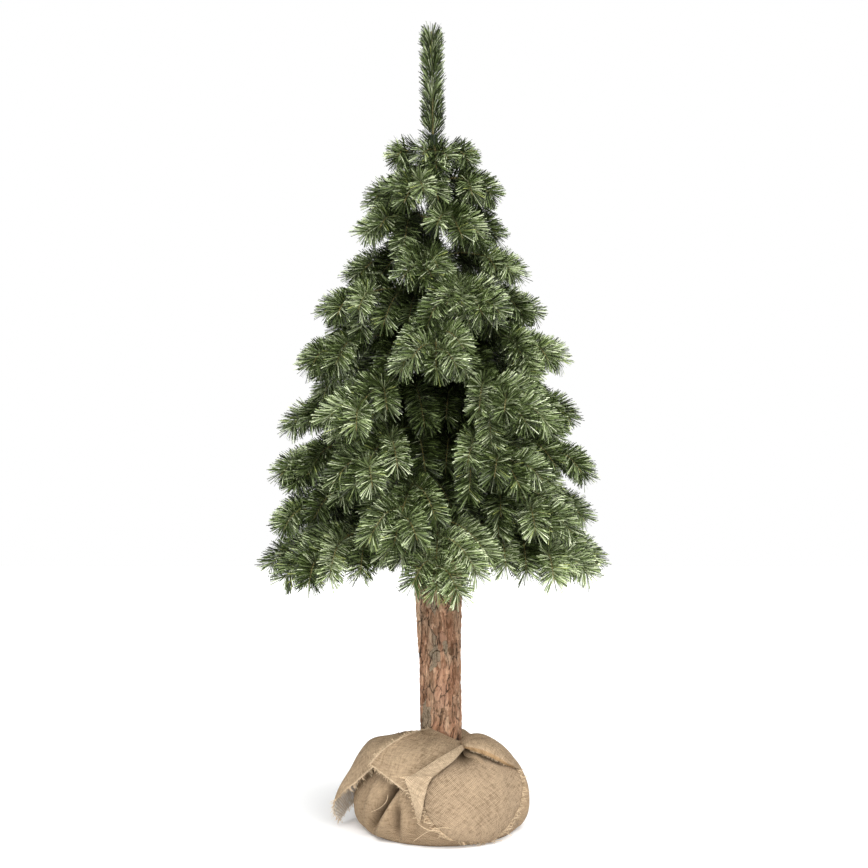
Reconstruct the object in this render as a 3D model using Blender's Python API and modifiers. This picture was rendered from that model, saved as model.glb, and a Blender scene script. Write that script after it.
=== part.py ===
"""An artificial christmas tree on a natural pine log.

Needle branches stand in ten tiers on a steel pole. The pole is let into the top of the log, and
the log is set in a weighted foot wrapped in burlap.

Units are metres, +Z is up, and the origin is the centre of the foot's flat underside. Angles
are measured in degrees from +X, so 270 faces the front.
"""

import math
import random
from collections import namedtuple

import bmesh
import bpy
from mathutils import Matrix, Vector

# ---------------------------------------------------------------- driving dimensions

GAP = 0.0003                    # clearance between solids that touch
SLANT_GAP = GAP * 1.2           # the same, along an axis that meets the face at a slant

HEIGHT = 1.80                   # floor to the tips of the leader's needles

LOG_BOTTOM = 0.030              # the log's flat cut, on the floor of its socket
LOG_TOP = 0.622
LOG_FOOT_RADIUS = 0.0440        # trimmed round where it stands in the socket
LOG_RADIUS = 0.0452             # bare shaft above the foot
LOG_TOP_RADIUS = 0.0492         # bark left on, under the crown
LOG_BARE_HEIGHT = 0.175         # above the socket the bark begins
LOG_BARE_BLEND = 0.05           # height over which the bark comes in
LOG_BARK_HEIGHT = 0.39          # above this the thicker bark is left on
LOG_BARK_BLEND = 0.10
BARK_RIDGE = 0.0010             # height of the broad ridges that wind up the log
BARK_FURROW = 0.0009            # and of the narrower ones between them
LOG_SIDES = 18
LOG_RINGS = (0.00, 0.24, 0.34, 0.44, 0.54, 0.64, 0.74, 0.85, 0.94, 1.00)

POLE_RADIUS = 0.011
POLE_BOTTOM = 0.50              # the floor of the drilled hole
POLE_TOP = 1.546
POLE_SIDES = 16
POLE_CLEAR = 0.002              # how far the needles stay off the pole
DRILL_PAST = 0.02               # the drill's length above the log
LEAN_BOTTOM_X = -0.0035         # the pole's axis at POLE_BOTTOM
LEAN_TOP_X = -0.0180            # and at POLE_TOP

FOOT_SIDES = 28
SOCKET_TOP_RADIUS = 0.0480      # the wrap's mouth round the log
# Half section of the wrapped foot, from the floor up to its mouth: (radius, height).
FOOT_PROFILE = ((0.166, 0.000), (0.187, 0.020), (0.194, 0.062), (0.184, 0.112),
                (0.158, 0.155), (0.118, 0.184), (0.080, 0.192), (0.052, 0.193))
FOOT_RINGS = 9
LIP_DEPTH = 0.006               # the socket narrows from this depth below the mouth
NECK_DEPTH = 0.020              # to this one
Wave = namedtuple("Wave", "count height phase")
# Soft folds round the wrap.
WAVES = (Wave(5, 0.0035, 0.6), Wave(9, 0.0025, 2.1), Wave(14, 0.0018, 4.0))
FOLDS_END = 0.9                 # along the profile, they run on into the mouth from here
PROFILE_STEP = 0.01             # for the profile's slope

DRAPE_THICKNESS = 0.007         # the drape hangs free of the foot
FLAP_BODY = 0.022               # the other flaps are solid down to the wrap
FLAP_STEPS_ALONG = 6
FLAP_STEPS_ACROSS = 3
FLAP_LEAST_RADIUS = 0.06        # nearer the log than this, a flap no longer fans out
FlapStation = namedtuple("FlapStation", "azimuth along lift half_width")
# Each flap follows a spine over the foot: azimuth, place along the profile (0 floor, 1 mouth),
# height above the wrap, and half its width there.
FLAPS = {
    "left_drape": (FlapStation(196, 0.97, 0.002, 0.050), FlapStation(192, 0.80, 0.005, 0.088),
                   FlapStation(189, 0.62, 0.008, 0.088), FlapStation(187, 0.46, 0.020, 0.070),
                   FlapStation(186, 0.30, 0.032, 0.046), FlapStation(185, 0.15, 0.040, 0.018)),
    "front_flap": (FlapStation(255, 0.99, 0.014, 0.030), FlapStation(243, 0.86, 0.008, 0.066),
                   FlapStation(236, 0.72, 0.007, 0.070), FlapStation(232, 0.58, 0.008, 0.050),
                   FlapStation(228, 0.46, 0.006, 0.014)),
    "pointed_flap": (FlapStation(296, 0.92, 0.009, 0.014), FlapStation(280, 0.78, 0.014, 0.026),
                     FlapStation(264, 0.64, 0.015, 0.036), FlapStation(256, 0.48, 0.013, 0.030),
                     FlapStation(254, 0.32, 0.008, 0.006)),
    "right_fold": (FlapStation(306, 0.97, 0.008, 0.030), FlapStation(314, 0.84, 0.017, 0.050),
                   FlapStation(326, 0.68, 0.015, 0.054), FlapStation(338, 0.52, 0.008, 0.040)),
}

Tier = namedtuple("Tier", "hub tip reach branches turn pairs")
# The tiers from the top down: height of the hub on the pole, height of the side tips, reach
# from the pole, number of branches, azimuth of the first, and pairs of side twigs on each.
TIERS = (
    Tier(1.520, 1.484, 0.110, 4, 5, 1),
    Tier(1.441, 1.400, 0.174, 4, -25, 1),
    Tier(1.360, 1.320, 0.190, 4, 22, 1),
    Tier(1.272, 1.232, 0.202, 4, -10, 2),
    Tier(1.177, 1.146, 0.266, 4, 25, 2),
    Tier(1.070, 1.036, 0.308, 5, -18, 2),
    Tier(0.960, 0.906, 0.352, 5, 18, 2),
    Tier(0.850, 0.786, 0.366, 6, 0, 2),
    Tier(0.745, 0.680, 0.372, 6, 15, 2),
    Tier(0.650, 0.592, 0.386, 7, 12, 3),
)
LOPSIDED = 0.028                # the crown reaches this share further to the left
CREST = 0.30                    # rise of a branch's control point, times the tier's reach
CREST_FROM = 0.10               # past this
CREST_LIMIT = 0.060
HANG_CREST = 0.075              # the control point is this much higher on the lowest tier's
HANG_FROM = 0.18                # branches to the front and the back, and less further up,
                                # down to nothing where a tier reaches this far
HANG_TIP = 0.035                # the tips to the front and the back hang this much lower
EDGE_SLOPE = 0.3                # fall of a tier's middle surface past its tips
STEM_SIDES = 3
STEM_RADIUS = 0.0042            # at the pole
TWIG_ROOT_RADIUS = STEM_RADIUS * 0.8
TWIG_RADIUS = 0.0030            # at a twig's end
BOUGH_RADIUS = 0.0050
BOUGH_END = 0.085               # where the lowest tier's boughs enter their masses
BOUGH_STATIONS = 3
BOUGH_SIDES = 6

# Side twigs: their place on the stem, as a share of it, the slant and the length they start
# from, and how much these fall towards the stem's tip.
FIRST_PAIR = 0.80
PAIR_STEP = 0.24
ONLY_PAIR = 0.50
PAIR_STAGGER = 0.03
TWIG_SLANT = 52
TWIG_SLANT_FALL = 16
TWIG_SLANT_SPREAD = 5
TWIG_LENGTH = 0.51              # times the tier's reach
TWIG_LENGTH_FALL = 0.36
TWIG_LENGTH_ADDED = 0.012
TWIG_LENGTH_SPREAD = 0.008
TWIG_CURL = 0.12                # share of its length that a twig loses in bending down
TWIG_RISE = 0.10
TWIG_RISE_SPREAD = 0.04
TWIG_DROOP = 0.60
TWIG_DROOP_SPREAD = (-0.08, 0.12)

NEEDLE_OUT = 0.033              # how far a needle stands out from its stem
NEEDLE_ALONG = 0.026            # and how far it leans along it
TIP_NEEDLE = 0.024              # needles past the end of a stem
LEADER_STATIONS = 9
LEADER_OUT = 0.027
LEADER_ALONG = 0.034
SEGMENT = 0.046                 # stem length that carries one ring of needles
NEEDLE_SPREAD = (0.86, 1.06)
NEEDLE_CUT = 0.15               # a needle that isn't free is shortened by this share
NEEDLE_TESTS = (0.4, 0.7, 1)    # where along it a needle is tested
SHORTEST = 0.35                 # a needle shorter than this share is left out
TWIG_SUNK = 0.0015              # a twig's root lies this far past its stem's middle
TWIG_CLEAR = 0.017              # a needle's distance from the other stems
TWIST = math.radians(52)        # each ring of needles turns by this
ROOM_MARGIN = 0.0025            # a mass stays this far inside its own space
SIDE_MARGIN = 0.001             # and this far from its neighbours' in the same tier
LEVEL_MARGIN = 0.004            # the same, above the log and below the pole's top
LEADER_ROOM = 0.036             # radius kept free for the leader's needles
LOG_ROOM = 0.056                # and round the log
SEED = 24

# ---------------------------------------------------------------- scene and materials


def clear_scene():
    """Remove every object of the start-up file."""
    for thing in list(bpy.data.objects):
        bpy.data.objects.remove(thing, do_unlink=True)


def new_collection(name):
    """Make a collection in the scene."""
    group = bpy.data.collections.new(name)
    bpy.context.scene.collection.children.link(group)
    return group


def material(name, colour, roughness, metallic=0.0):
    """A plain Principled material."""
    made = bpy.data.materials.new(name)
    made.use_nodes = True
    shader = made.node_tree.nodes["Principled BSDF"]
    shader.inputs["Base Color"].default_value = (*colour, 1.0)
    shader.inputs["Roughness"].default_value = roughness
    shader.inputs["Metallic"].default_value = metallic
    made.diffuse_color = (*colour, 1.0)
    return made


def add_object(name, bm, group, surface=None):
    """Turn a bmesh into a named object of a collection."""
    mesh = bpy.data.meshes.new(name)
    bm.normal_update()
    bm.to_mesh(mesh)
    bm.free()
    thing = bpy.data.objects.new(name, mesh)
    group.objects.link(thing)
    if surface:
        mesh.materials.append(surface)
    return thing


def apply_modifiers(thing):
    """Replace an object's mesh by its evaluated one."""
    depsgraph = bpy.context.evaluated_depsgraph_get()
    mesh = bpy.data.meshes.new_from_object(thing.evaluated_get(depsgraph))
    thing.modifiers.clear()
    thing.data = mesh


def keep_main_body(mesh):
    """Drop what is apart from a mesh's largest body: loose scraps and sealed hollows."""
    bm = bmesh.new()
    bm.from_mesh(mesh)
    left, bodies = set(bm.verts), []
    while left:
        body, edge_of_body = set(), [left.pop()]
        while edge_of_body:
            vert = edge_of_body.pop()
            body.add(vert)
            near = {edge.other_vert(vert) for edge in vert.link_edges} & left
            left -= near
            edge_of_body.extend(near)
        bodies.append(body)
    bodies.sort(key=len)
    for body in bodies[:-1]:
        bmesh.ops.delete(bm, geom=list(body), context="VERTS")
    bm.to_mesh(mesh)
    bm.free()


def unite(thing, others):
    """Fuse the objects of a collection into one, and remove them."""
    join = thing.modifiers.new("unite", "BOOLEAN")
    join.operation = "UNION"
    join.operand_type = "COLLECTION"
    join.collection = others
    join.solver = "EXACT"
    apply_modifiers(thing)
    keep_main_body(thing.data)
    for used in list(others.objects):
        bpy.data.objects.remove(used, do_unlink=True)
    bpy.data.collections.remove(others)


# ---------------------------------------------------------------- shapes


def loft(rings):
    """A closed body through rings of points, with flat ends."""
    bm = bmesh.new()
    loops = [[bm.verts.new(point) for point in ring] for ring in rings]
    sides = len(loops[0])
    for lower, upper in zip(loops, loops[1:]):
        for i in range(sides):
            j = (i + 1) % sides
            bm.faces.new((lower[i], lower[j], upper[j], upper[i]))
    bm.faces.new(list(reversed(loops[0])))
    bm.faces.new(loops[-1])
    return bm


def smooth_curve(points, t):
    """The place at t, from 0 to 1, on a Catmull-Rom curve through evenly spaced points."""
    last = len(points) - 1
    span = min(int(t * last), last - 1)
    u = t * last - span
    p0, p1, p2, p3 = (points[min(max(span + k, 0), last)] for k in (-1, 0, 1, 2))
    return [0.5 * (2 * b + (c - a) * u + (2 * a - 5 * b + 4 * c - d) * u * u
                   + (3 * b - a - 3 * c + d) * u ** 3)
            for a, b, c, d in zip(p0, p1, p2, p3)]


def polar(radius, azimuth, height):
    """A point from cylindrical coordinates, the azimuth in radians."""
    return Vector((radius * math.cos(azimuth), radius * math.sin(azimuth), height))


def stem_rings(line, radii, sides, twist=0.0, first_heading=None):
    """Rings of points round a line, each square to it."""
    rings = []
    for i, point in enumerate(line):
        heading = (line[min(i + 1, len(line) - 1)] - line[max(i - 1, 0)]).normalized()
        if i == 0 and first_heading:
            heading = first_heading
        across = heading.cross(Vector((0, 0, 1)))
        if across.length < 0.01:
            across = Vector((1, 0, 0))
        across.normalize()
        up = across.cross(heading)
        ring = []
        for k in range(sides):
            turn = twist * i + 2 * math.pi * k / sides
            ring.append(point + radii[i] * (math.cos(turn) * across - math.sin(turn) * up))
        rings.append(ring)
    return rings


# ---------------------------------------------------------------- wrapped foot


def foot_point(azimuth, along, lift=0.0):
    """A point on the wrap, or above it, from its azimuth and its place along the profile."""
    radius, height = smooth_curve(FOOT_PROFILE, along)
    r0, z0 = smooth_curve(FOOT_PROFILE, max(along - PROFILE_STEP, 0.0))
    r1, z1 = smooth_curve(FOOT_PROFILE, min(along + PROFILE_STEP, 1.0))
    length = math.hypot(r1 - r0, z1 - z0)
    folds = sum(wave.height * math.cos(wave.count * azimuth + wave.phase) for wave in WAVES)
    out = lift + folds * math.sin(math.pi * min(along, FOLDS_END))
    return polar(radius + out * (z1 - z0) / length, azimuth,
                 max(height - out * (r1 - r0) / length, 0.0))


def flap(name, stations, thickness, group):
    """A thick sheet of cloth laid over the foot along its spine."""
    bm = bmesh.new()
    bmesh.ops.create_grid(bm, x_segments=FLAP_STEPS_ACROSS, y_segments=FLAP_STEPS_ALONG, size=1.0)
    for vert in bm.verts:
        across, t = vert.co.x, (vert.co.y + 1) / 2
        azimuth, along, lift, half_width = smooth_curve(stations, t)
        spine = foot_point(math.radians(azimuth), along, lift)
        swing = -across * half_width / max(math.hypot(spine.x, spine.y),
                                                FLAP_LEAST_RADIUS)
        vert.co = foot_point(math.radians(azimuth) + swing, along, lift)
    thing = add_object(name, bm, group)
    thicken = thing.modifiers.new("thickness", "SOLIDIFY")
    thicken.thickness = thickness
    return thing


def build_foot(group, surface):
    """The weighted foot in its burlap wrap, with a blind socket for the log."""
    azimuths = [2 * math.pi * k / FOOT_SIDES for k in range(FOOT_SIDES)]
    rings = [[foot_point(a, i / (FOOT_RINGS - 1)) for a in azimuths] for i in range(FOOT_RINGS)]
    mouth = FOOT_PROFILE[-1][1]
    socket = (LOG_FOOT_RADIUS + GAP) / math.cos(math.pi / FOOT_SIDES)
    rings.append([polar(SOCKET_TOP_RADIUS, a, mouth - LIP_DEPTH) for a in azimuths])
    rings.append([polar(socket, a, mouth - NECK_DEPTH) for a in azimuths])
    rings.append([polar(socket, a, LOG_BOTTOM - GAP) for a in azimuths])
    foot = add_object("burlap_foot", loft(rings), group, surface)
    flaps = new_collection("flaps")
    for name, stations in FLAPS.items():
        flap(name, stations, DRAPE_THICKNESS if name == "left_drape" else FLAP_BODY, flaps)
    unite(foot, flaps)
    return foot


# ---------------------------------------------------------------- log and pole


def axis_x(height):
    """The pole leans a little to the left as it rises."""
    slope = (LEAN_TOP_X - LEAN_BOTTOM_X) / (POLE_TOP - POLE_BOTTOM)
    return LEAN_BOTTOM_X + slope * (height - POLE_BOTTOM)


def pole_cylinder(name, radius, bottom, top, group, surface=None):
    """A cylinder on the pole's leaning axis."""
    start = Vector((axis_x(bottom), 0, bottom))
    end = Vector((axis_x(top), 0, top))
    bm = bmesh.new()
    turn = (end - start).to_track_quat("Z", "Y").to_matrix().to_4x4()
    place = Matrix.Translation((start + end) / 2) @ turn
    bmesh.ops.create_cone(bm, cap_ends=True, segments=POLE_SIDES, radius1=radius, radius2=radius,
                          depth=(end - start).length, matrix=place)
    return add_object(name, bm, group, surface)


def log_ring(share):
    """One section of the log: round in its socket, ridged with bark above it."""
    height = LOG_BOTTOM + share * (LOG_TOP - LOG_BOTTOM)
    bark = min(max((height - LOG_BARE_HEIGHT) / LOG_BARE_BLEND, 0.0), 1.0)
    thick = min(max((height - LOG_BARK_HEIGHT) / LOG_BARK_BLEND, 0.0), 1.0)
    radius = LOG_FOOT_RADIUS + bark * (LOG_RADIUS - LOG_FOOT_RADIUS)
    radius += thick * (LOG_TOP_RADIUS - LOG_RADIUS)
    lean = LEAN_BOTTOM_X * bark * (height - LOG_BARE_HEIGHT) / (POLE_BOTTOM - LOG_BARE_HEIGHT)
    ring = []
    for k in range(LOG_SIDES):
        azimuth = 2 * math.pi * k / LOG_SIDES
        ridges = BARK_RIDGE * math.cos(3 * azimuth + 7 * height)
        ridges += BARK_FURROW * math.cos(7 * azimuth)
        ring.append(polar(radius + bark * ridges, azimuth, height) + Vector((lean, 0, 0)))
    return ring


def build_log(group, cutters, surface):
    """The pine log, with the drilled hole that the pole stands in."""
    log = add_object("trunk_log", loft([log_ring(share) for share in LOG_RINGS]), group, surface)
    drill = pole_cylinder("pole_drill", POLE_RADIUS + GAP, POLE_BOTTOM - GAP,
                          LOG_TOP + DRILL_PAST, cutters)
    hole = log.modifiers.new("pole hole", "BOOLEAN")
    hole.operation = "DIFFERENCE"
    hole.object = drill
    hole.solver = "EXACT"
    apply_modifiers(log)
    bpy.data.objects.remove(drill, do_unlink=True)
    return log


# ---------------------------------------------------------------- branches


def tier_height(tier, radius, azimuth):
    """Height of a tier's middle surface: up from the hub, over, and down to the tips.

    Branches arch more steeply to the front and the back than to the sides.
    """
    end = tier.reach - TIP_NEEDLE
    s = max(radius - POLE_RADIUS, 0.0) / (end - POLE_RADIUS)
    hang = math.sin(azimuth) ** 2
    wide = max(tier.reach - HANG_FROM, 0.0) / (TIERS[-1].reach - HANG_FROM)
    arch = min(CREST * (tier.reach - CREST_FROM), CREST_LIMIT)
    crest = tier.hub + arch + HANG_CREST * hang * wide
    tip = tier.tip - HANG_TIP * hang
    if s > 1.0:
        return tip - EDGE_SLOPE * (radius - end)
    return tier.hub * (1 - s) ** 2 + 2 * crest * s * (1 - s) + tip * s * s


def make_room(number, azimuth):
    """The test for the space that one branch keeps to, between its neighbours' spaces."""
    tier = TIERS[number]
    half = math.pi / tier.branches
    above = TIERS[number - 1] if number else None
    below = TIERS[number + 1] if number + 1 < len(TIERS) else None
    hub_x = axis_x(tier.hub)

    def inside(point):
        across = math.hypot(point.x - hub_x, point.y)
        heading = math.atan2(point.y, point.x - hub_x)
        off = heading - azimuth
        off = abs((off + math.pi) % (2 * math.pi) - math.pi)
        if off >= half or across * math.sin(half - off) < SIDE_MARGIN:
            return False
        if math.hypot(point.x - axis_x(point.z), point.y) < POLE_RADIUS + POLE_CLEAR:
            return False
        middle = tier_height(tier, across, heading)
        if above and point.z > (middle + tier_height(above, across, heading)) / 2 - ROOM_MARGIN:
            return False
        if below and point.z < (middle + tier_height(below, across, heading)) / 2 + ROOM_MARGIN:
            return False
        if not above and across < LEADER_ROOM and point.z > POLE_TOP - LEVEL_MARGIN:
            return False
        return below or across > LOG_ROOM or point.z > LOG_TOP + LEVEL_MARGIN

    return inside


def line_distance(point, line):
    """Distance from a point to a line of straight stretches."""
    nearest = []
    for a, b in zip(line, line[1:]):
        share = max(0.0, min(1.0, (point - a).dot(b - a) / (b - a).length_squared))
        nearest.append((point - a.lerp(b, share)).length)
    return min(nearest)


def spray(name, line, radii, group, surface, free, rng, first_heading=None, bare=0,
          out=NEEDLE_OUT, lean=NEEDLE_ALONG, past=TIP_NEEDLE):
    """A slim three-sided stem whose faces are drawn out into needles, past its bare root.

    A needle is shortened until it lies where free() allows, or left out.
    """
    bm = loft(stem_rings(line, radii, STEM_SIDES, TWIST, first_heading))
    bm.normal_update()
    bm.faces.ensure_lookup_table()
    faces = list(bm.faces)
    end_cap = faces[-1]
    for number, face in enumerate(faces[:-2]):
        station = number // STEM_SIDES
        if station < bare:
            continue
        centre = face.calc_center_median()
        heading = (line[station + 1] - line[station]).normalized()
        away = centre - (line[station] + line[station + 1]) / 2
        away -= heading * away.dot(heading)
        needle = away.normalized() * out * rng.uniform(*NEEDLE_SPREAD) + heading * lean
        size = 1.0
        while size > SHORTEST and not all(free(centre + needle * size * k) for k in NEEDLE_TESTS):
            size -= NEEDLE_CUT
        if size > SHORTEST:
            bmesh.ops.poke(bm, faces=[face])["verts"][0].co = centre + needle * size
    tip = line[-1] + (line[-1] - line[-2]).normalized() * past
    bmesh.ops.poke(bm, faces=[end_cap])["verts"][0].co = tip
    bmesh.ops.triangulate(bm, faces=[face for face in bm.faces if len(face.verts) > 3],
                          quad_method="SHORT_EDGE")
    return add_object(name, bm, group, surface)


def steps_for(length):
    """How many rings of needles a stem of this length carries."""
    return max(2, round(length / SEGMENT))


def taper(count, start, end):
    """Evenly tapering radii."""
    return [start + (end - start) * i / count for i in range(count + 1)]


def branch_point(tier, azimuth, radius):
    """A point on a branch's own centre line."""
    height = tier_height(tier, radius, azimuth)
    return polar(radius, azimuth, height) + Vector((axis_x(tier.hub), 0, 0))


def stem_end(tier, azimuth):
    """How far from the pole a branch's stem ends, short of its last needles."""
    return tier.reach * (1 - LOPSIDED * math.cos(azimuth)) - TIP_NEEDLE


def point_on(line, share):
    """A point on a line of evenly spaced stations."""
    place = share * (len(line) - 1)
    station = min(int(place), len(line) - 2)
    return line[station].lerp(line[station + 1], place - station)


def twig_line(tier, azimuth, stem, share, side, rng):
    """The line of a side twig: out from its stem at a slant, arching down to its tip."""
    root = point_on(stem, share)
    slant = TWIG_SLANT - TWIG_SLANT_FALL * share
    slant += rng.uniform(-TWIG_SLANT_SPREAD, TWIG_SLANT_SPREAD)
    heading = azimuth + side * math.radians(slant)
    length = tier.reach * (TWIG_LENGTH - TWIG_LENGTH_FALL * share) + TWIG_LENGTH_ADDED
    length += rng.uniform(-TWIG_LENGTH_SPREAD, TWIG_LENGTH_SPREAD)
    rise = TWIG_RISE + rng.uniform(-TWIG_RISE_SPREAD, TWIG_RISE_SPREAD)
    droop = TWIG_DROOP + rng.uniform(*TWIG_DROOP_SPREAD)
    count = steps_for(length)
    line = []
    for i in range(count + 1):
        t = i / count
        along = length * t * (1 - TWIG_CURL * t)
        line.append(root + polar(along, heading, length * (rise * t - droop * t * t)))
    line[0] -= (line[1] - line[0]).normalized() * TWIG_SUNK
    return line


def trim_line(line, inside):
    """Cut a twig back to the stretch that stays in its room, or drop it."""
    kept = 1
    while kept < len(line) and inside(line[kept]):
        kept += 1
    return line[:kept] if kept > 2 else None


def build_branch(number, index, group, surfaces):
    """One mass of needles, and its bough on the lowest tier."""
    tier = TIERS[number]
    rng = random.Random(SEED + 100 * number + index)
    azimuth = math.radians(tier.turn + 360 * index / tier.branches)
    inside = make_room(number, azimuth)
    lowest = number == len(TIERS) - 1
    label = "%02d_%d" % (number + 1, index + 1)
    end = stem_end(tier, azimuth)
    outward = polar(1, azimuth, 0)
    start, heading = POLE_RADIUS + GAP, outward
    if lowest:
        line = [branch_point(tier, azimuth, start + (BOUGH_END - start) * i / BOUGH_STATIONS)
                for i in range(BOUGH_STATIONS + 1)]
        rings = stem_rings(line, taper(BOUGH_STATIONS, BOUGH_RADIUS, STEM_RADIUS), BOUGH_SIDES,
                           first_heading=outward)
        add_object("bough_" + label, loft(rings), group, surfaces["steel"])
        heading = (line[-1] - line[-2]).normalized()
        start = BOUGH_END + SLANT_GAP
    count = steps_for(end - start)
    line = [branch_point(tier, azimuth, start + (end - start) * i / count)
            for i in range(count + 1)]
    lines = [line]
    for pair in range(tier.pairs):
        share = FIRST_PAIR - PAIR_STEP * pair if tier.pairs > 1 else ONLY_PAIR
        for side in (-1, 1):
            twig = twig_line(tier, azimuth, line, share + PAIR_STAGGER * side, side, rng)
            twig = trim_line(twig, inside)
            if twig:
                lines.append(twig)

    def free_of_others(own):
        others = [line for line in lines if line is not own]
        return lambda point: (inside(point)
                              and all(line_distance(point, o) > TWIG_CLEAR for o in others))

    twigs = new_collection("twigs")
    mass = spray("needles_" + label, line, taper(count, STEM_RADIUS, TWIG_RADIUS), group,
                 surfaces["needles"], free_of_others(line), rng, heading)
    for twig in lines[1:]:
        radii = taper(len(twig) - 1, TWIG_ROOT_RADIUS, TWIG_RADIUS)
        spray("twig", twig, radii, twigs, None, free_of_others(twig), rng,
              bare=1 if len(twig) > 3 else 0)
    unite(mass, twigs)
    return mass


def build_leader(group, surfaces):
    """The upright brush on the pole's top."""
    rng = random.Random(SEED)
    bottom, top = POLE_TOP + SLANT_GAP, HEIGHT - LEADER_ALONG
    count = LEADER_STATIONS
    heights = [bottom + (top - bottom) * i / count for i in range(count + 1)]
    line = [Vector((axis_x(z), 0, z)) for z in heights]

    def inside(point):
        across = math.hypot(point.x - axis_x(point.z), point.y)
        return across < LEADER_ROOM - ROOM_MARGIN and point.z <= HEIGHT

    return spray("needles_leader", line, taper(count, STEM_RADIUS, TWIG_RADIUS), group,
                 surfaces["needles"], inside, rng, (line[1] - line[0]).normalized(),
                 out=LEADER_OUT, lean=LEADER_ALONG, past=LEADER_ALONG)


def main():
    """Build the whole tree."""
    clear_scene()
    tree = new_collection("christmas_tree")
    cutters = new_collection("cutters")
    surfaces = {
        "needles": material("needles", (0.045, 0.105, 0.035), 0.55),
        "bark": material("bark", (0.24, 0.14, 0.08), 0.85),
        "steel": material("green steel", (0.03, 0.07, 0.03), 0.45, 0.6),
        "burlap": material("burlap", (0.50, 0.36, 0.20), 0.95),
    }
    build_foot(tree, surfaces["burlap"])
    build_log(tree, cutters, surfaces["bark"])
    pole_cylinder("pole", POLE_RADIUS, POLE_BOTTOM, POLE_TOP, tree, surfaces["steel"])
    build_leader(tree, surfaces)
    for number, tier in enumerate(TIERS):
        for index in range(tier.branches):
            build_branch(number, index, tree, surfaces)
    bpy.data.collections.remove(cutters)


main()
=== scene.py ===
"""The looks of an artificial christmas tree on a pine log: its needles, bark and burlap.

Units are metres, +Z is up, and 270 degrees faces the camera. The branches grow by the same rule
and the same draws as the solids do, and go on to finer twigs inside the same spaces.
"""

import random
from collections import namedtuple
from math import atan2, cos, degrees, exp, hypot, pi, radians, sin, tau

import bpy
import numpy as np
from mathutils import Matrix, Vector, noise
from mathutils.bvhtree import BVHTree


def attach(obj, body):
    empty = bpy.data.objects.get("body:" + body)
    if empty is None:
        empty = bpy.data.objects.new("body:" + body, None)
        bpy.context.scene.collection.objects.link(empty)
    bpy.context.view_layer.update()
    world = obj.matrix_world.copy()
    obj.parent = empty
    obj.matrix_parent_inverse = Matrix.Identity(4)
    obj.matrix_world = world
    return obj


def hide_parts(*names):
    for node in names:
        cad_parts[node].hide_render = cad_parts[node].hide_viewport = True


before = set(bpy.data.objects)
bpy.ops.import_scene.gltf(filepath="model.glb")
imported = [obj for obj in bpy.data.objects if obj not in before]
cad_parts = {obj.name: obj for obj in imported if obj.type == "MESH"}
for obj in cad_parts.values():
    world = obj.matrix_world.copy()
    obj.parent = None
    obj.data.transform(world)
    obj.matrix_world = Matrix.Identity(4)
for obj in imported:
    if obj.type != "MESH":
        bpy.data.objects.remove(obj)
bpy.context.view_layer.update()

# ---- camera and picture

CAMERA = Vector((-0.0157, -3.1, 0.876))  # level, and looking along +Y
SENSOR = 36.0
LENS = 57.3
AMBIENT = 0.24  # the studio's even white light
SUN = 5.7  # one wide soft light from above the camera
SUN_SPREAD = 75  # in degrees
SUN_FROM = (0.30, -1.0, 1.6)
FLOOR_GLOW = 0.18  # lifts the shadows on the floor
FLOOR_SIZE = 12.0
FLOOR_LEVEL = -0.0005  # just under the cloth
WHITE = (1.0, 1.0, 1.0, 1.0)

# ---- sizes of the solids, with the names that they have in the part's source

GAP = 0.0003
SLANT_GAP = GAP * 1.2
HEIGHT = 1.80

LOG_BOTTOM = 0.030
LOG_TOP = 0.622
LOG_FOOT_RADIUS = 0.0440
LOG_RADIUS = 0.0452
LOG_TOP_RADIUS = 0.0492
LOG_BARE_HEIGHT = 0.175
LOG_BARE_BLEND = 0.05
LOG_BARK_HEIGHT = 0.39
LOG_BARK_BLEND = 0.10
BARK_RIDGE = 0.0010
BARK_FURROW = 0.0009

POLE_RADIUS = 0.011
POLE_BOTTOM = 0.50
POLE_TOP = 1.546
POLE_CLEAR = 0.002
LEAN_BOTTOM_X = -0.0035
LEAN_TOP_X = -0.0180

SOCKET_TOP_RADIUS = 0.0480
FOOT_PROFILE = ((0.166, 0.000), (0.187, 0.020), (0.194, 0.062), (0.184, 0.112),
                (0.158, 0.155), (0.118, 0.184), (0.080, 0.192), (0.052, 0.193))
LIP_DEPTH = 0.006
NECK_DEPTH = 0.020
Wave = namedtuple("Wave", "count height phase")
WAVES = (Wave(5, 0.0035, 0.6), Wave(9, 0.0025, 2.1), Wave(14, 0.0018, 4.0))
FOLDS_END = 0.9
PROFILE_STEP = 0.01

Tier = namedtuple("Tier", "hub tip reach branches turn pairs")
TIERS = (
    Tier(1.520, 1.484, 0.110, 4, 5, 1),
    Tier(1.441, 1.400, 0.174, 4, -25, 1),
    Tier(1.360, 1.320, 0.190, 4, 22, 1),
    Tier(1.272, 1.232, 0.202, 4, -10, 2),
    Tier(1.177, 1.146, 0.266, 4, 25, 2),
    Tier(1.070, 1.036, 0.308, 5, -18, 2),
    Tier(0.960, 0.906, 0.352, 5, 18, 2),
    Tier(0.850, 0.786, 0.366, 6, 0, 2),
    Tier(0.745, 0.680, 0.372, 6, 15, 2),
    Tier(0.650, 0.592, 0.386, 7, 12, 3),
)
LOPSIDED = 0.028
CREST = 0.30
CREST_FROM = 0.10
CREST_LIMIT = 0.060
HANG_CREST = 0.075
HANG_FROM = 0.18
HANG_TIP = 0.035
EDGE_SLOPE = 0.3
BOUGH_END = 0.085
FIRST_PAIR = 0.80
PAIR_STEP = 0.24
ONLY_PAIR = 0.50
PAIR_STAGGER = 0.03
TWIG_SLANT = 52
TWIG_SLANT_FALL = 16
TWIG_SLANT_SPREAD = 5
TWIG_LENGTH = 0.51
TWIG_LENGTH_FALL = 0.36
TWIG_LENGTH_ADDED = 0.012
TWIG_LENGTH_SPREAD = 0.008
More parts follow.
